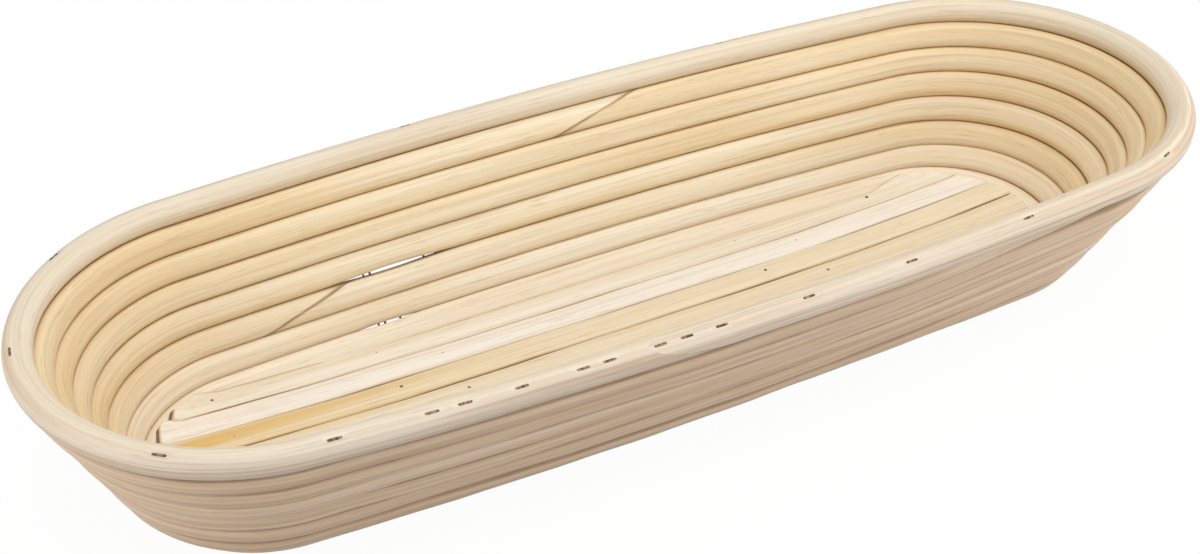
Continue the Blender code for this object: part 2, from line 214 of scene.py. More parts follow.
level_step = np.array([PITCH] * (WALL_LEVELS - 1) + [FOOT_STEP] * 2)
level_slope = np.array([WALL_SLOPE] * (WALL_LEVELS - 1) + [FOOT_SLOPE] * 2)
levels = np.arange(1, FLOOR_LEVEL + 2)
level_in = np.concatenate([[0], np.cumsum(level_step * np.cos(level_slope))])
level_drop = np.concatenate([[0], np.cumsum(level_step * np.sin(level_slope))])
level_height = level_drop[FLOOR_LEVEL - 1] - level_drop + FOOT_SHARE * CANE_RADIUS


def oval_size(level, inset=0.0):
    """Half length, half width, end radius and side radius of a level's oval, drawn in by inset: four arcs."""
    inward = np.interp(level, levels, level_in)
    width = WIDTH / 2 - CANE_RADIUS - inward
    end = END_ROUND * width - inset
    length = LENGTH / 2 - CANE_RADIUS - END_LEAN * inward - inset
    width = width - inset
    side = ((length - end) ** 2 + width ** 2 - end ** 2) / (2 * (width - end))
    return length, width, end, side


def off_middle(level):
    """How far the middle of a level lies from the middle of the rim, along X."""
    return FLOOR_SHIFT * np.interp(level, levels, level_in)


def slat_shade(pale, deep, gold, gold_end):
    """Planed cane: soft bands, fine fibres and short pores along the basket, golden left of gold_end."""
    def shade(wire):
        fibre_dark, fibre_light = (0.60, 0.42, 0.22, 1), (0.92, 0.84, 0.70, 1)
        pore_brown, edge_dirt_and_shade = (0.44, 0.27, 0.12, 1), (0.48, 0.29, 0.11, 1)
        end_shadow_brown = (0.12, 0.06, 0.025, 1)
        place = wire.node("ShaderNodeTexCoord", {}, {}, "Object")
        edge = wire.node("ShaderNodeAttribute", {"attribute_name": "edge"}, {}, "Fac")
        band = place.cloud((4, 300, 40), 2.0)
        fibre = place.cloud((9, 1100, 500), 4.0, 0.7)
        pore = place.cloud((70, 2400, 900), 1.0)
        dirt_and_shade = place.cloud((22, 400, 60), 2.0)
        golden = 1 - (place.part(0) + 0.05 * band).step(gold_end - 0.09, gold_end + 0.06)
        colour = band.step(0.3, 0.7).between(pale, deep)
        colour = (golden * band.step(0.25, 0.6) * 0.90).between(colour, gold)
        colour = (fibre.step(0.45, 0.72) * 0.42).between(colour, fibre_dark)
        colour = ((1 - fibre.step(0.28, 0.46)) * 0.30).between(colour, fibre_light)
        colour = (pore.step(0.62, 0.76) * 0.40).between(colour, pore_brown)
        # Brown along the side edges and the cut ends: partly dirt, partly painted shade between the slats and
        # at the ends.
        colour = (edge.step(0.90, 1.0) * dirt_and_shade.step(0.15, 0.6) * 0.75).between(colour, edge_dirt_and_shade)
        # Painted shadow: a dark line at the left ends, for the shadow gap between each slat and the ring.
        colour = (edge.step(1.02, 1.15) * 0.9).between(colour, end_shadow_brown)
        return colour, 0.46 + 0.2 * fibre, fibre, 0.00016
    return shade


# From the front slat to the back one: pale tone, deep tone, gold, and how far the gold reaches from the left.
NO_GOLD = -0.30
SLAT_TONES = [
    ((0.80, 0.69, 0.52, 1), (0.74, 0.60, 0.41, 1), (0.70, 0.50, 0.22, 1), NO_GOLD),
    ((0.82, 0.73, 0.58, 1), (0.78, 0.66, 0.48, 1), (0.70, 0.50, 0.22, 1), NO_GOLD),
    ((0.80, 0.69, 0.50, 1), (0.76, 0.62, 0.42, 1), (0.72, 0.53, 0.24, 1), 0.10),
    ((0.82, 0.72, 0.55, 1), (0.78, 0.65, 0.45, 1), (0.70, 0.50, 0.22, 1), NO_GOLD),
    ((0.83, 0.72, 0.54, 1), (0.79, 0.65, 0.44, 1), (0.70, 0.45, 0.11, 1), -0.04),
    ((0.88, 0.83, 0.76, 1), (0.85, 0.78, 0.68, 1), (0.76, 0.60, 0.36, 1), NO_GOLD),
    ((0.84, 0.77, 0.65, 1), (0.79, 0.69, 0.53, 1), (0.68, 0.50, 0.28, 1), -0.13),
]
SLAT_UP = np.array([0.0, 0.0, 0.0001, 0.0, 0.0002, 0.0001, 0.0])
# Fall of the rounded top towards its edges, and the least thickness where a slat laps on the ring.
SLAT_EDGE, SLAT_CROWN, CROWN_POWER, SLAT_THIN = 0.0004, 0.0009, 2.2, 0.0005
TOP_POINTS, UNDER_POINTS = 17, 6
END_STATIONS, NEXT_STATION, STATIONS = np.array([0, 0.0001, 0.0003, 0.0007]), 0.0015, 140
END_BREAK = 0.00025
EDGE_WAVES, LIFT_WAVES = [(0.00012, 61, 2.1), (0.00008, 143, 1)], [(0.00006, 47, 1.7)]
# Left ends stop short of the ring's middle line and are sawn at a slant; right ends reach past it.
LEFT_SHORT, RIGHT_LONG = 0.0022, 0.0014
LEFT_SLANT, SLANT_RUN = np.array([-0.50, -0.30, -0.15, 0.0, 0.15, 0.30, 0.50]), 0.012
# Rise of the ends on to the ring, and the runs in which the side edges close over it.
LAP_RISE, LAP_START, LAP_END, LAP_OVER, LAP_FLAT = 0.0033, 0.045, 0.155, 0.0018, 0.75
LEFT_RISE_SHARE, MOST_RISE = 0.80, 1.05
SIDE_IN, SIDE_LAP, LEFT_RUN, RIGHT_RUN, FULL_LAP = 0.0047, 0.0027, 0.020, 0.042, 0.003
TAIL_ROOM, TAIL_MIDDLE, TAIL_HALF, TAIL_FLAT = 0.0024, 0.086, 0.058, 1.5
RING_TOP, RING_CLEAR = 0.0044, 0.0003
# Painted shade at the slat ends: its strength at the left and right ends and the run over which it fades;
# past 1 it adds a painted shadow line.
LEFT_END_SHADE, RIGHT_END_SHADE, END_SHADE_RUN = 1.3, 1.0, 0.006

ring_length, ring_end = oval_size(FLOOR_LEVEL)[::2]
ring_middle = off_middle(FLOOR_LEVEL)
ring_height = level_height[FLOOR_LEVEL - 1]


def ring_room(reach, inset):
    """Half width of the ring's oval, drawn in by inset, at a reach along it: the side arc or the end arc."""
    length, width, end, side = oval_size(FLOOR_LEVEL, inset)
    over = np.clip(np.abs(reach) - (length - end), 0, end)
    on_end = over > end * np.cos(np.arctan2(side - width, length - end))
    return np.where(on_end, np.sqrt(end ** 2 - over ** 2), width - side + np.sqrt(side ** 2 - reach ** 2))


def slat_lift(reach):
    """Rise of the slats towards their ends, which lie on the ring: the square of the way to the end."""
    rise = np.where(reach < 0, LEFT_RISE_SHARE * LAP_RISE, LAP_RISE)
    return rise * np.clip((np.abs(reach) - LAP_START) / (LAP_END - LAP_START), 0, MOST_RISE) ** 2


def over_ring(reach, y):
    """Height of the ring's round top: a circle over the distance in from the ring's middle line."""
    over = np.clip(np.abs(reach) - (ring_length - ring_end), 0, ring_end)[:, None]
    from_side = ring_room(reach, 0)[:, None] - np.abs(y)
    into = np.clip(np.where(over > 0, ring_end - np.hypot(over, y), from_side), 0, None)
    top = ring_height + RING_CLEAR + np.sqrt(np.clip(RING_TOP ** 2 - into ** 2, 0, None))
    return np.where(into < RING_TOP, top, 0)


for number, tones in enumerate(SLAT_TONES, 1):
    low, high = (np.array(corner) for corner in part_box(f"floor_slat_{number}"))
    # Stations along the slat, from the left end to the right, where its inner edge meets the ring.
    inner = min(abs(low[1]), abs(high[1])) * (low[1] * high[1] > 0)
    meets = ring_length - ring_end + math.sqrt(ring_end ** 2 - inner ** 2)
    left, right = LEFT_SHORT - meets, meets + RIGHT_LONG
    between_ends = np.linspace(left + NEXT_STATION, right - NEXT_STATION, STATIONS)
    reach = np.concatenate([left + END_STATIONS, between_ends, right - END_STATIONS[::-1]])
    on_left, to_end = reach < 0, np.minimum(reach - left, right - reach)
    fall = np.clip(to_end / END_STATIONS[-1], 0, 1)
    shrink = END_BREAK * (1 - np.sqrt(fall * (2 - fall)))
    lift = slat_lift(reach)
    lapped = np.clip(lift / LAP_RISE / np.where(on_left, LEFT_RISE_SHARE, 1), 0, 1)
    # Edges: inside the ring along the sides, over it near the ends, and wider beside the winding's tail.
    drawn = np.where(on_left, SIDE_LAP * lapped, 0)
    side_run = np.where(on_left, LEFT_RUN, RIGHT_RUN)
    close = np.clip((side_run - to_end) / (side_run - FULL_LAP), 0, 1)
    close = close ** 2 * (3 - 2 * close)
    room = ring_room(reach, SIDE_IN - drawn - (SIDE_IN - drawn + LAP_OVER) * close)
    waver = waves(reach, number, EDGE_WAVES)
    beside_tail = np.clip(TAIL_FLAT - TAIL_FLAT * ((reach - TAIL_MIDDLE) / TAIL_HALF) ** 2, 0, 1)
    near = np.maximum(low[1] + waver, -room) + shrink - TAIL_ROOM * (number == 1) * beside_tail
    far = np.minimum(high[1] + waver, room) - shrink
    # Section: a rounded top that flattens where the slat laps, and a flat underside that clears the ring.
    side = np.concatenate([np.linspace(-1, 1, TOP_POINTS), np.linspace(1, -1, UNDER_POINTS)])
    on_top = np.arange(TOP_POINTS + UNDER_POINTS) < TOP_POINTS
    y = (near + far)[:, None] / 2 + (far - near)[:, None] / 2 * side
    lift = (lift + SLAT_UP[number - 1] + waves(reach, number, LIFT_WAVES))[:, None]
    fallen = SLAT_CROWN * np.abs(side) ** CROWN_POWER + SLAT_EDGE * (np.abs(side) == 1)
    crown = high[2] - fallen * (1 - LAP_FLAT * lapped[:, None])
    under = np.maximum(low[2] + lift, over_ring(reach, y))
    above = np.maximum(crown + lift - shrink[:, None], under + SLAT_THIN)
    z = np.where(on_top, above, under)
    slant = LEFT_SLANT[number - 1] * np.clip(1 - (reach - left) / SLANT_RUN, 0, 1)
    held = near if LEFT_SLANT[number - 1] > 0 else far
    x = ring_middle + reach[:, None] + slant[:, None] * (y - held[:, None])
    # Painted shade towards the ends, carried with the side edges in one attribute.
    end_shade_mark = np.where(on_left, LEFT_END_SHADE, RIGHT_END_SHADE) * (1 - np.clip(to_end / END_SHADE_RUN, 0, 1))
    edge = np.maximum(np.abs(side), end_shade_mark[:, None])
    finish = paint(f"planed_cane_{number}", slat_shade(*tones))
    slat = skin(f"slat_{number}", [np.stack([x, y, z], axis=-1)], finish, sharp=40, edge=edge.ravel())
    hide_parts(f"floor_slat_{number}")


# Brads: thin steel nails driven through the slats into the cross strips. Their small heads are browned and
# set level with the rounded tops of the slats.

def steel_shade(wire):
    """Browned steel: dark brown with rusty patches."""
    place = wire.node("ShaderNodeTexCoord", {}, {}, "Object")
    rust = place.cloud((900, 900, 900), 2.0)
    colour = rust.step(0.38, 0.62).between((0.090, 0.060, 0.042, 1), (0.42, 0.28, 0.16, 1))
    return colour, 0.45 + 0.3 * rust, rust, 0.00005


BRAD_AROUND, BRAD_PROUD, BRAD_TIP = 16, 0.00008, 0.02
BRAD_SHARE = np.array([0.0, 0.35, 0.8, 1.0, 1.0, 0.72, 0.66, 0.66, 0.30, 0.0])
BELOW_HEAD = np.array([0.0, 0.00002, 0.00008, 0.0002, 0.0005, 0.0007, 0.0009])
ABOVE_TIP = np.array([0.0012, 0.0005, 0.0003])

steel_finish = paint("browned_steel", steel_shade, Metallic=0.6)
brad_names = sorted(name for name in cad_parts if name.startswith("floor_brad"))
slat_boxes = [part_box(f"floor_slat_{i}") for i in range(1, len(SLAT_TONES) + 1)]
slat_middles = np.array([(low[1] + high[1]) / 2 for low, high in slat_boxes])
angle = np.linspace(0, 2 * np.pi, BRAD_AROUND, endpoint=False)
around = np.stack([np.cos(angle), np.sin(angle)], axis=-1)
brads = []
for name in brad_names:
    low, high = (np.array(corner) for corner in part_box(name))
    middle, half = (low + high) / 2, (high[0] - low[0]) / 2
    row = np.argmin(np.abs(slat_middles - middle[1]))
    head = high[2] + float(slat_lift(middle[0] - ring_middle)) + SLAT_UP[row] + BRAD_PROUD
    heights = np.concatenate([head - BELOW_HEAD, low[2] + ABOVE_TIP])
    spread = np.maximum(BRAD_SHARE, BRAD_TIP) * half
    plan = middle[:2] + spread[:, None, None] * around
    tall = np.broadcast_to(heights[:, None, None], (len(heights), BRAD_AROUND, 1))
    brads.append(np.concatenate([plan, tall], axis=-1))
brad_piece = skin("brads", brads, steel_finish)
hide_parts(*brad_names)


# Winding: three lengths of peeled round cane, soaked, wound from the floor ring up the wall and stapled turn
# to turn as they go. Ends meet in long scarfs; the first end and the last are pared down to a thin tail.

ARC_SHARE = 0.45
END_OUT, END_OUT_START, END_OUT_RUN, END_OUT_LEVELS = 0.0024, 0.10, 0.096, 4
# Places are shares of a turn, from the +X end towards +Y; the climb lies on the right half of the front.
CLIMB_PLACE, CLIMB_HALF, CLIMB_EASE = 0.880, 0.085, 0.2
CLIMB_SLACK, CLIMB_MARGIN = 0.00013, 1.3
LOWER_SCARF, UPPER_SCARF = 3.352, WALL_LEVELS + 0.233
SHOWN_RADIUS, TOUCH_SHARE = 0.00438, 0.505
SCARF_LENGTH, SCARF_GAP, SCARF_FADE, SCARF_RINGS = 0.038, 0.00008, 3.2, 1.5
CANE_AROUND, CANE_SQUARE, RING_STEP = 36, 3.3, 0.0021
CANE_WAVES = [(0.00016, 41, 1), (0.00011, 87, 2), (0.00005, 203, 3)]
THIN_SHARE, THIN_RATE = 0.006, 29
FOOT_LIFT = 0.00045
# Radius at the tip of a tail, how far the thin end sinks in, and the run in which its neighbour fills up.
TAIL_RADIUS, TAIL_SINK, TIP_LAP = 0.00035, 0.0001, 0.012
SMALL_TURN = 1e-4


def oval_point(turn, level):
    """X and Y on a level's oval after a share of a turn, from the +X end towards +Y, each arc run evenly.

    The right end of the upper levels reaches out further, by the square of the way along it.
    """
    length, width, end, side = oval_size(level)
    meet = np.arctan2(side - width, length - end)
    quarter, along = np.divmod(np.mod(turn, 1.0) * 4, 1)
    along = np.where(quarter % 2 == 1, 1 - along, along)
    end_angle = meet * along / ARC_SHARE
    side_angle = meet + (np.pi / 2 - meet) * (along - ARC_SHARE) / (1 - ARC_SHARE)
    on_end = along < ARC_SHARE
    x = np.where(on_end, length - end + end * np.cos(end_angle), side * np.cos(side_angle))
    y = np.where(on_end, end * np.sin(end_angle), width - side + side * np.sin(side_angle))
    x = np.where((quarter == 1) | (quarter == 2), -x, x) + off_middle(level)
    out_share = np.clip((x - END_OUT_START) / END_OUT_RUN, 0, 1) ** 2
    x = x + END_OUT * out_share * np.clip((WALL_LEVELS - level) / END_OUT_LEVELS, 0, 1)
    return x, np.where(quarter >= 2, -y, y)


def wall_point(turn, level):
    """Point of the wall's middle surface; the floor ring is drawn up against the turn above it."""
    turn, level = np.broadcast_arrays(turn, level)
    drawn = np.minimum(level, FLOOR_LEVEL + 1) - FOOT_LIFT / FOOT_STEP * np.clip(level - WALL_LEVELS, 0, 1)
    x, y = oval_point(turn, drawn)
    return np.stack([x, y, np.interp(drawn, levels, level_height)], axis=-1)


def unit(vectors):
    """Vectors brought to length 1."""
    return vectors / np.linalg.norm(vectors, axis=-1, keepdims=True)


def wall_frame(turn, level):
    """Directions along the cane, up the wall and out of the wall."""
    along = unit(wall_point(turn + SMALL_TURN, level) - wall_point(turn - SMALL_TURN, level))
    up = wall_point(turn, level - 0.5) - wall_point(turn, level + 0.5)
    up = unit(up - along * np.sum(up * along, axis=-1, keepdims=True))
    return along, up, np.cross(along, up)


def eased(share):
    """A ramp from 0 to 1, soft at both ends and straight between."""
    share = np.clip(share, 0, 1)
    bend = 2 * CLIMB_EASE * (1 - CLIMB_EASE)
    ramp = np.where(share < CLIMB_EASE, share ** 2 / bend, (share - CLIMB_EASE / 2) / (1 - CLIMB_EASE))
    return np.where(share > 1 - CLIMB_EASE, 1 - (1 - share) ** 2 / bend, ramp)


def touching(turn, level):
    """Radius at which a turn just meets its neighbours: a little over half of the way to the next level."""
    between = np.clip(level, 1.5, FLOOR_LEVEL - 0.5)
    apart = wall_point(turn, between - 0.5) - wall_point(turn, between + 0.5)
    return np.linalg.norm(apart, axis=-1) * TOUCH_SHARE


def winding(turn):
    """Place round the basket, level and radius after a count of turns: whole levels, climbed in one stretch.

    In the first climb and the last the cane is a tail: it thins with the room that the next turn leaves, and
    keeps to the floor below or to the rim above.
    """
    nearest = np.round(turn)
    risen = nearest - 1 + eased((turn - nearest + CLIMB_HALF) / (2 * CLIMB_HALF))
    level = FLOOR_LEVEL - np.clip(risen, 0, WALL_LEVELS - 1)
    room = np.clip(np.where(turn < 0.5, 1 + risen, WALL_LEVELS - risen), 0, 1)
    climbing = np.clip(1 - np.abs(turn - nearest) / (CLIMB_MARGIN * CLIMB_HALF), 0, 1)
    full = touching(turn + CLIMB_PLACE, level) - CLIMB_SLACK * np.minimum(2 * climbing, 1)
    radius = full * room - TAIL_SINK * (1 - room)
    shift = (full - radius) / PITCH
    return turn + CLIMB_PLACE, level + np.where(turn < 0.5, shift, -shift), radius


def hump(value, middle, half):
    """1 at the middle, 0 beyond half away, soft between."""
    return np.clip(1 - ((value - middle) / half) ** 2, 0, 1) ** 2


def cane_rings(path, first, last, first_cut, last_cut, around, step, seed):
    """Rings of a length of cane and its place in the cane.

    Rings stand every step along the path. A scarf slides each point of the end rings along the cane by its
    height on the section. The middle line wanders out and in by slow waves.
    """
    rough = np.linspace(first, last, 4000)
    spot = wall_point(*path(rough)[:2])
    run = np.concatenate([[0], np.cumsum(np.linalg.norm(np.diff(spot, axis=0), axis=1))])
    turns = np.interp(np.linspace(0, run[-1], int(run[-1] / step)), run, rough)
    reach = SCARF_FADE * SCARF_HALF
    slant = first_cut * SCARF_HALF * np.clip(1 - (turns - first) / reach, 0, 1)
    slant = slant + last_cut * SCARF_HALF * np.clip(1 - (last - turns) / reach, 0, 1)
    angle = np.linspace(0, 2 * np.pi, around, endpoint=False)
    turns = turns[:, None] - slant[:, None] * np.cos(angle)
    place, level, radius = path(turns)
    up, out = wall_frame(place, level)[1:]
    length = np.interp(turns, rough, run)
    wander = waves(length, seed, CANE_WAVES)
    radius = radius * (1 - THIN_SHARE * (0.5 + 0.5 * np.sin(length * THIN_RATE + seed)))
    return place, level, radius, wander, up, out, angle, length


def cane_points(place, level, radius, wander, up, out, angle, square=2.0):
    """Points round the middle line: angle 0 is up the wall, and the foot is flattened at z = 0.

    The section is a circle for square 2; above that the powers of its two halves give it fuller corners.
    """
    full = (np.abs(np.cos(angle)) ** square + np.abs(np.sin(angle)) ** square) ** (-1 / square)
    offset = up * (full * np.cos(angle))[:, None] - out * (full * np.sin(angle))[:, None]
    points = wall_point(place, level) + wander[..., None] * out + radius[..., None] * offset
    points[..., 2] = np.maximum(points[..., 2], 0)
    return points


def end_marks(shape, first_cut, last_cut, rings):
    """1 on the rings at a scarfed end, falling to 0 over a few rings."""
    count = np.arange(shape[0])
    near = np.maximum(first_cut * (1 - count / rings), last_cut * (1 - count[::-1] / rings))
    return np.repeat(np.clip(near, 0, 1), shape[1])


def cane_shade(pale, honey, shaded_outside, crease_dirt_and_shade, inside_light_share, end_shade_share, both_sides):
    """Peeled cane: slow changes of tone along it, fine fibres, short pores, and dark scarfs.

    The creases between turns are painted in honey shade and browned, partly by dirt and partly as painted
    shade.
    The inside is painted in shade, darker and more golden, towards the ends of the basket, and is paler at
    the foot; painted light makes it lighter and warmer by a given share. The outside is painted darker and
    greyer as shade, with painted shadow along the steps between turns, and is grimy.
    """
    painted_light_warm, end_shade_honey, foot_pale = (0.88, 0.76, 0.56, 1), (0.70, 0.50, 0.26, 1), (0.90, 0.85, 0.78, 1)
    grime_dark, grime_light = (0.40, 0.26, 0.18, 1), (0.86, 0.75, 0.63, 1)
    streak_brown, pore_brown = (0.50, 0.33, 0.18, 1), (0.40, 0.24, 0.10, 1)
    fibre_dark, fibre_light = (0.52, 0.34, 0.17, 1), (0.92, 0.83, 0.68, 1)
    crease_shade_honey, step_shadow_dark = (0.68, 0.46, 0.20, 1), (0.22, 0.13, 0.08, 1)
    scarf_brown = (0.36, 0.21, 0.09, 1)

    def shade(wire):
        place = wire.node("ShaderNodeAttribute", {"attribute_name": "in_the_cane"}, {}, "Vector")
        joint = wire.node("ShaderNodeAttribute", {"attribute_name": "joint"}, {}, "Fac").step(0.1, 0.9)
        spot = wire.node("ShaderNodeTexCoord", {}, {}, "Object")
        across = place.part(1)
        outside = (0 - place.part(2)).step(-0.001, 0.001)
        inside = 1 - outside
        ends = abs(spot.part(0)).step(0.08, 0.17)
        foot = 1 - spot.part(2).step(0.004, 0.026)
        tone = place.cloud((7, 90, 90), 2.0)
        streak = place.cloud((5, 420, 420), 2.0)
        fibre = place.cloud((11, 1050, 1050), 4.0, 0.7)
        pore = place.cloud((90, 2300, 2300), 1.0)
        dirt_and_shade = place.cloud((60, 300, 300), 2.0)
        grime = place.cloud((4, 620, 620), 3.0, 0.65)
        colour = tone.step(0.3, 0.7).between(pale, honey)
        # Painted shade: the outside is darker and greyer, as it lies in shade.
        colour = (outside * 0.70).between(colour, shaded_outside)
        # Painted light: the inside is made lighter and warmer.
        colour = (inside * inside_light_share).between(colour, painted_light_warm)
        # Painted shade: the inside turns darker and golden towards the ends of the basket.
        colour = (inside * ends * end_shade_share).between(colour, end_shade_honey)
        colour = (inside * foot * 0.45).between(colour, foot_pale)
        colour = (grime.step(0.50, 0.66) * outside * 0.50).between(colour, grime_dark)
        colour = ((1 - grime.step(0.34, 0.48)) * outside * 0.32).between(colour, grime_light)
        colour = (streak.step(0.50, 0.70) * (0.18 + 0.22 * outside)).between(colour, streak_brown)
        colour = (fibre.step(0.45, 0.70) * (0.36 + 0.14 * outside)).between(colour, fibre_dark)
        colour = ((1 - fibre.step(0.28, 0.46)) * 0.28).between(colour, fibre_light)
        colour = (pore.step(0.62, 0.78) * 0.38).between(colour, pore_brown)
        height = (abs(across) if both_sides else 0 - across) * (1 / SHOWN_RADIUS)
        # Painted shade: honey towards the creases between turns.
        colour = (height.step(0.55, 1.0) * 0.30).between(colour, crease_shade_honey)
        # Brown along the creases between turns: partly dirt, partly painted shade.
        colour = (height.step(0.90, 1.0) * (0.25 + 0.5 * dirt_and_shade)).between(colour, crease_dirt_and_shade)
        # Painted shadow along the steps between turns on the outside, broken up by noise.
        colour = (height.step(0.64, 0.84) * outside * (0.30 + 0.7 * dirt_and_shade)).between(colour, step_shadow_dark)
        scarf = joint * 0.8 if both_sides else joint * height.step(-0.35, 0.1)
        colour = (scarf * dirt_and_shade.step(0.2, 0.6)).between(colour, scarf_brown)
        return colour, 0.47 + 0.18 * fibre, fibre, 0.00014
    return shade


back_turns = np.array([0.249, 0.251])
back_step = np.linalg.norm(np.diff(wall_point(back_turns, 1), axis=0))
SCARF_HALF = SCARF_LENGTH / 2 * np.ptp(back_turns) / back_step
SCARF_SHIFT = SCARF_HALF * SCARF_GAP / (2 * SHOWN_RADIUS)
LAST_CLIMB = WALL_LEVELS - 1
BACK_GAPS = [(5, 0.00080, -0.067, 0.027), (7, 0.00050, -0.0735, 0.014)]

# Besides its own tones, the winding's finish paints shade on the outside, in the creases between turns and at
# the ends of the basket.
cane_finish = paint("peeled_cane", cane_shade(
    pale=(0.87, 0.77, 0.58, 1), honey=(0.80, 0.63, 0.38, 1), shaded_outside=(0.66, 0.470, 0.345, 1),
    crease_dirt_and_shade=(0.52, 0.29, 0.10, 1), inside_light_share=0.0, end_shade_share=0.38, both_sides=True))
lower_joint, upper_joint = LOWER_SCARF - CLIMB_PLACE, UPPER_SCARF - CLIMB_PLACE
share = np.linspace(0, 1, 2001)
tail_share = np.interp(2 * (TAIL_RADIUS + TAIL_SINK) / PITCH, eased(share), share)
tail = (2 * tail_share - 1) * CLIMB_HALF
lengths = [
    ("lower_cane", tail, lower_joint - SCARF_SHIFT, 0, 1, 1.0),
    ("middle_cane", lower_joint + SCARF_SHIFT, upper_joint - SCARF_SHIFT, 1, 1, 2.3),
    ("upper_cane", upper_joint + SCARF_SHIFT, WALL_LEVELS - tail, 1, 0, 3.1),
]
for node, first, last, first_cut, last_cut, seed in lengths:
    place, level, radius, wander, up, out, angle, length = cane_rings(
        winding, first, last, first_cut, last_cut, CANE_AROUND, RING_STEP, seed)
    above, below = np.clip(np.cos(angle), 0, 1), np.clip(-np.cos(angle), 0, 1)
    # Two gaps at the back, where a turn and the one below it stand apart.
    back_x, at_back = oval_point(place, level)[0], np.mod(place, 1) < 0.5
    for gap_level, gap_size, gap_x, gap_half in BACK_GAPS:
        parted = (np.abs(level - gap_level) < 0.1) * below + (np.abs(level - gap_level - 1) < 0.1) * above
        radius = radius - gap_size * at_back * parted * hump(back_x, gap_x, gap_half)
    # Past the tip of the upper tail the turn below it is full enough to reach the rim.
    past_climb = place - CLIMB_PLACE - LAST_CLIMB
    left_open = PITCH * (1 - eased((past_climb + CLIMB_HALF) / (2 * CLIMB_HALF)))
    radius = radius + left_open * above * np.clip(1 + (past_climb + tail) / TIP_LAP, 0, 1)
    points = cane_points(place, level, radius, wander, up, out, angle, CANE_SQUARE)
    in_cane = np.stack([length + seed, radius * np.cos(angle), radius * np.sin(angle)], axis=-1)
    joint = end_marks(points.shape[:2], first_cut, last_cut, SCARF_RINGS)
    cane = skin(f"{node}_round", [points], cane_finish, sharp=55,
                in_the_cane=in_cane.reshape(-1, 3), joint=joint)
    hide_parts(node)


# Rim hoop: one more length of the same cane, paler and drier, bent round the top of the wall and scarfed to
# itself on the front. The staples pull it down, so each sits in a small dent.

RIM_AROUND, RIM_STEP, RIM_SEED, RIM_START = 40, RING_STEP / 2, 4.4, 9
RIM_SCARF_X, RIM_SCARF_RINGS, RIM_WANDER_SHARE = -0.0199, 3, 0.5
DENT_DEEP, DENT_LONG, DENT_WIDE = 0.00042, 0.0032, 0.0011


def rim_path(turn):
    """The rim hoop: the first level, at full radius."""
    return turn, np.ones_like(turn), touching(turn, np.ones_like(turn))


front_turns = np.linspace(0.6, 0.9, 3001)
rim_joint = float(np.interp(RIM_SCARF_X, oval_point(front_turns, 1)[0], front_turns))
first, last = rim_joint + SCARF_SHIFT / 2, rim_joint + 1 - SCARF_SHIFT / 2
place, level, radius, wander, up, out, angle, length = cane_rings(
    rim_path, first, last, 1, 1, RIM_AROUND, RIM_STEP, RIM_SEED)

staple_names = sorted(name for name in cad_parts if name.startswith("rim_staple"))
round_turns = np.linspace(0, 1, 20001)
round_x, round_y = oval_point(round_turns, 1)
staple_turns = []
for name in staple_names:
    low, high = (np.array(corner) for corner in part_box(name))
    middle = (low + high) / 2
    staple_turns.append(round_turns[np.argmin((round_x - middle[0]) ** 2 + (round_y - middle[1]) ** 2)])
staple_turns = np.array(staple_turns)
rim_spot = wall_point(place, level)
across_dent = np.exp(-(np.sin(angle / 2) * 2 * SHOWN_RADIUS / DENT_WIDE) ** 2)
for turn in staple_turns:
    seat = wall_point(np.array(turn), np.array(1.0))
    away = np.linalg.norm(rim_spot - seat, axis=-1)
    radius = radius - DENT_DEEP * np.exp(-(away / DENT_LONG) ** 4) * across_dent
points = cane_points(place, level, radius, wander * RIM_WANDER_SHARE, up, out, angle)
in_cane = np.stack([length + RIM_START, radius * np.cos(angle), radius * np.sin(angle)], axis=-1)
# Besides its own tones, the rim's finish paints shade on its outside and in the crease below it, and paints
# light on its inside.
rim_finish = paint("pale_cane", cane_shade(
    pale=(0.73, 0.665, 0.565, 1), honey=(0.70, 0.605, 0.465, 1), shaded_outside=(0.70, 0.59, 0.48, 1),
    crease_dirt_and_shade=(0.46, 0.29, 0.15, 1), inside_light_share=0.32, end_shade_share=0.0, both_sides=False))
joint = end_marks(points.shape[:2], 1, 1, RIM_SCARF_RINGS)
rim = skin("rim_round", [points], rim_finish, sharp=55, in_the_cane=in_cane.reshape(-1, 3), joint=joint)
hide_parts("rim_cane")


# Staples: U-shaped steel wire driven down through the rim into the turn below. Only the crowns show on the
# rim, browned by damp; a few legs of others show where two turns stand apart at the back.

WIRE_HALF, WIRE_AROUND, WIRE_POWER = 0.00042, 10, 0.6
STAPLE_HALF, STAPLE_DEEP, STAPLE_SHOULDER = 0.0021, 0.0105, 0.004
STAPLE_CORNER, STAPLE_SUNK = 0.0006, 0.00012
LEG_HALF, LEG_REACH = 0.00036, 0.003
LEG_PLACES = [(-0.0765, 5.5), (-0.0742, 5.5), (-0.0545, 5.5), (-0.0502, 5.5),
              (-0.0758, 7.5), (-0.0735, 7.5), (-0.0680, 7.5)]


def wire_rings(path, side, half):
    """Rings of round-cornered wire along a path in a plane; side is the direction square to that plane."""
    across = np.cross(side, unit(np.gradient(path, axis=0)))
    angle = np.linspace(0, 2 * np.pi, WIRE_AROUND, endpoint=False)
    shape = np.stack([np.cos(angle), np.sin(angle)], axis=-1)
    shape = half * np.sign(shape) * np.abs(shape) ** WIRE_POWER
    return path[:, None] + shape[None, :, :1] * across[:, None] + shape[None, :, 1:] * side[None, None]


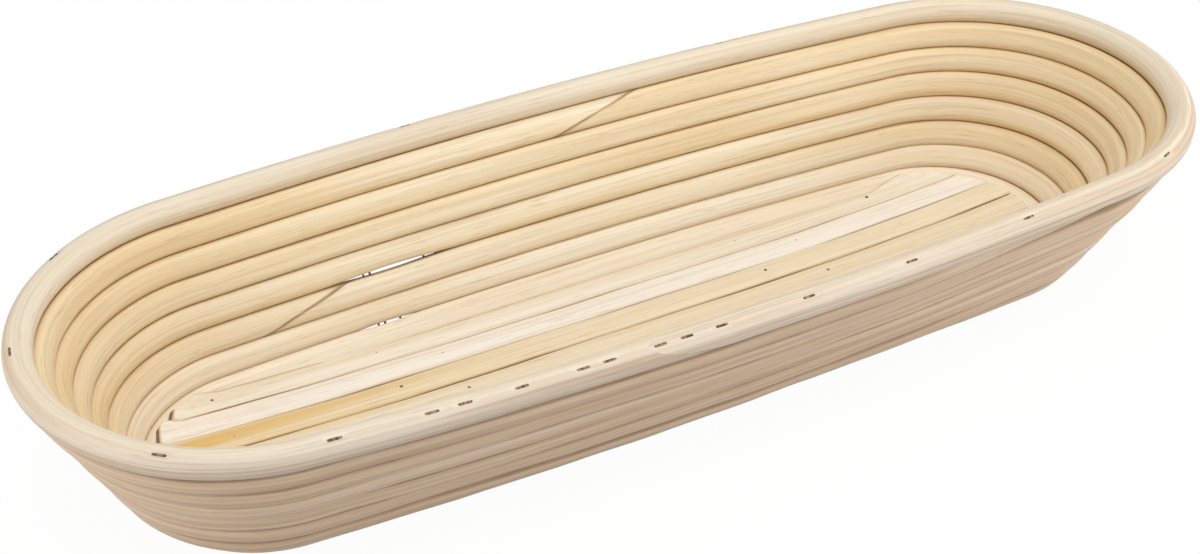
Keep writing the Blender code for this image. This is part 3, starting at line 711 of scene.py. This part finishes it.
bend = np.linspace(0, np.pi / 2, 5)
left_bend = STAPLE_CORNER * np.stack([1 - np.cos(bend), np.sin(bend) - 1], axis=-1) - [STAPLE_HALF, 0]
left_half = np.concatenate([[[-STAPLE_HALF, -STAPLE_DEEP], [-STAPLE_HALF, -STAPLE_SHOULDER]], left_bend])
staple_line = np.concatenate([left_half, (left_half * [-1, 1])[::-1]])
staples = []
for turn in staple_turns:
    spot_along, spot_up, spot_out = wall_frame(np.array(turn), np.array(1.0))
    seat = wall_point(np.array(turn), np.array(1.0)) + spot_up * (SHOWN_RADIUS - WIRE_HALF - STAPLE_SUNK)
    path = seat + staple_line[:, :1] * spot_along + staple_line[:, 1:] * spot_up
    staples.append(wire_rings(path, spot_out, WIRE_HALF))
staple_piece = skin("staples", staples, steel_finish, sharp=60)
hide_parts(*staple_names)

legs = []
leg_turns = np.linspace(0.2, 0.45, 4001)
for leg_x, leg_level in LEG_PLACES:
    turn = np.array(leg_turns[np.argmin(np.abs(oval_point(leg_turns, leg_level)[0] - leg_x))])
    leg_up, leg_out = wall_frame(turn, np.array(leg_level))[1:]
    path = wall_point(turn, np.array(leg_level)) + np.linspace(-LEG_REACH, LEG_REACH, 4)[:, None] * leg_up
    legs.append(wire_rings(path, leg_out, LEG_HALF))
leg_piece = skin("staple_legs", legs, steel_finish, sharp=60)


# Studio: a pale floor under the basket, a white surround, a soft light overhead, one in front and a weak one
# low at each end, and a camera at the left front above the rim.

FLOOR_HALF, FLOOR_DROP = 6.0, 0.0002
FLOOR_SHADED, FLOOR_SEEN, FLOOR_GLOW = (0.42, 0.41, 0.40, 1), (0.95, 0.95, 0.95, 1), 0.96
WHITE, SURROUND_TINT, SURROUND_LIGHT = (1, 1, 1, 1), (1.0, 0.985, 0.96, 1), 0.51

mesh = bpy.data.meshes.new("floor")
floor_corners = [(x * FLOOR_HALF, y * FLOOR_HALF, 0) for x, y in ((-1, -1), (1, -1), (1, 1), (-1, 1))]
mesh.from_pydata(floor_corners, [], [(0, 1, 2, 3)])
floor = bpy.data.objects.new("floor", mesh)
bpy.context.scene.collection.objects.link(floor)
floor_paint = bpy.data.materials.new("pale_floor")
floor_paint.use_nodes = True
tree = floor_paint.node_tree
tree.nodes.clear()
wire = Wire(tree)
seen = wire.node("ShaderNodeLightPath", {}, {}, "Is Camera Ray")
mirrored = wire.node("ShaderNodeLightPath", {}, {}, "Is Glossy Ray")
plain = wire.node("ShaderNodeBsdfDiffuse", {}, {"Color": seen.between(FLOOR_SHADED, FLOOR_SEEN)})
white = wire.node("ShaderNodeEmission", {}, {"Color": WHITE, "Strength": 1.0})
mixed = wire.node("ShaderNodeMixShader", {}, {0: (seen + mirrored) * FLOOR_GLOW, 1: plain, 2: white})
ground = tree.nodes.new("ShaderNodeOutputMaterial")
tree.links.new(mixed.socket, ground.inputs["Surface"])
floor.data.materials.append(floor_paint)
floor.location.z = -FLOOR_DROP

world = bpy.data.worlds.new("surround")
bpy.context.scene.world = world
world.use_nodes = True
tree = world.node_tree
tree.nodes.clear()
wire = Wire(tree)
seen = wire.node("ShaderNodeLightPath", {}, {}, "Is Camera Ray")
dim = wire.node("ShaderNodeBackground", {}, {"Color": SURROUND_TINT, "Strength": SURROUND_LIGHT})
bright = wire.node("ShaderNodeBackground", {}, {"Color": WHITE, "Strength": 1.0})
both = wire.node("ShaderNodeMixShader", {}, {0: seen, 1: dim, 2: bright})
sky = tree.nodes.new("ShaderNodeOutputWorld")
tree.links.new(both.socket, sky.inputs["Surface"])


def soft_light(name, place, target, size, power):
    """A square area light at a place, turned to a target."""
    lamp = bpy.data.lights.new(name, "AREA")
    lamp.size = size
    lamp.energy = power
    made = bpy.data.objects.new(name, lamp)
    made.visible_camera = False
    bpy.context.scene.collection.objects.link(made)
    back = unit(np.array(place) - np.array(target))
    right = unit(np.cross((0.0, 1.0, 0.0) if abs(back[2]) > 0.99 else (0.0, 0.0, 1.0), back))
    turned = Matrix(np.stack([right, np.cross(back, right), back], axis=1).tolist()).to_4x4()
    turned.translation = place
    made.matrix_world = turned


soft_light("overhead", (0.05, -0.10, 1.40), (0, 0, 0), 0.9, 9.5)
soft_light("key", (0.34, -1.06, 1.05), (0, 0, 0.03), 1.6, 5.4)
soft_light("fill", (0.45, -0.42, 0.03), (0.12, -0.06, 0.02), 0.4, 1.9)
soft_light("left_fill", (-0.52, -0.05, 0.03), (-0.18, -0.02, 0.03), 0.25, 0.9)

CAMERA_AZIMUTH, CAMERA_HEIGHT, CAMERA_ROLL = math.radians(-27.92), math.radians(35.11), math.radians(-0.34)
CAMERA_DISTANCE, CAMERA_AIM = 0.5950, (-0.03185, -0.03061, level_height[0])
SENSOR_WIDTH, FOCAL_LENGTH = 36, 60
lens = bpy.data.cameras.new("camera")
lens.sensor_width = SENSOR_WIDTH
lens.lens = FOCAL_LENGTH
back = np.array([math.sin(CAMERA_AZIMUTH) * math.cos(CAMERA_HEIGHT),
                 -math.cos(CAMERA_AZIMUTH) * math.cos(CAMERA_HEIGHT), math.sin(CAMERA_HEIGHT)])
right = np.array([math.cos(CAMERA_AZIMUTH), math.sin(CAMERA_AZIMUTH), 0])
above = np.cross(back, right)
tilt_right = right * math.cos(CAMERA_ROLL) + above * math.sin(CAMERA_ROLL)
view = Matrix(np.stack([tilt_right, np.cross(back, tilt_right), back], axis=1).tolist()).to_4x4()
view.translation = np.array(CAMERA_AIM) + back * CAMERA_DISTANCE
camera = bpy.data.objects.new("camera", lens)
bpy.context.scene.collection.objects.link(camera)
camera.matrix_world = view
bpy.context.scene.camera = camera
bpy.context.scene.view_settings.view_transform = "Standard"
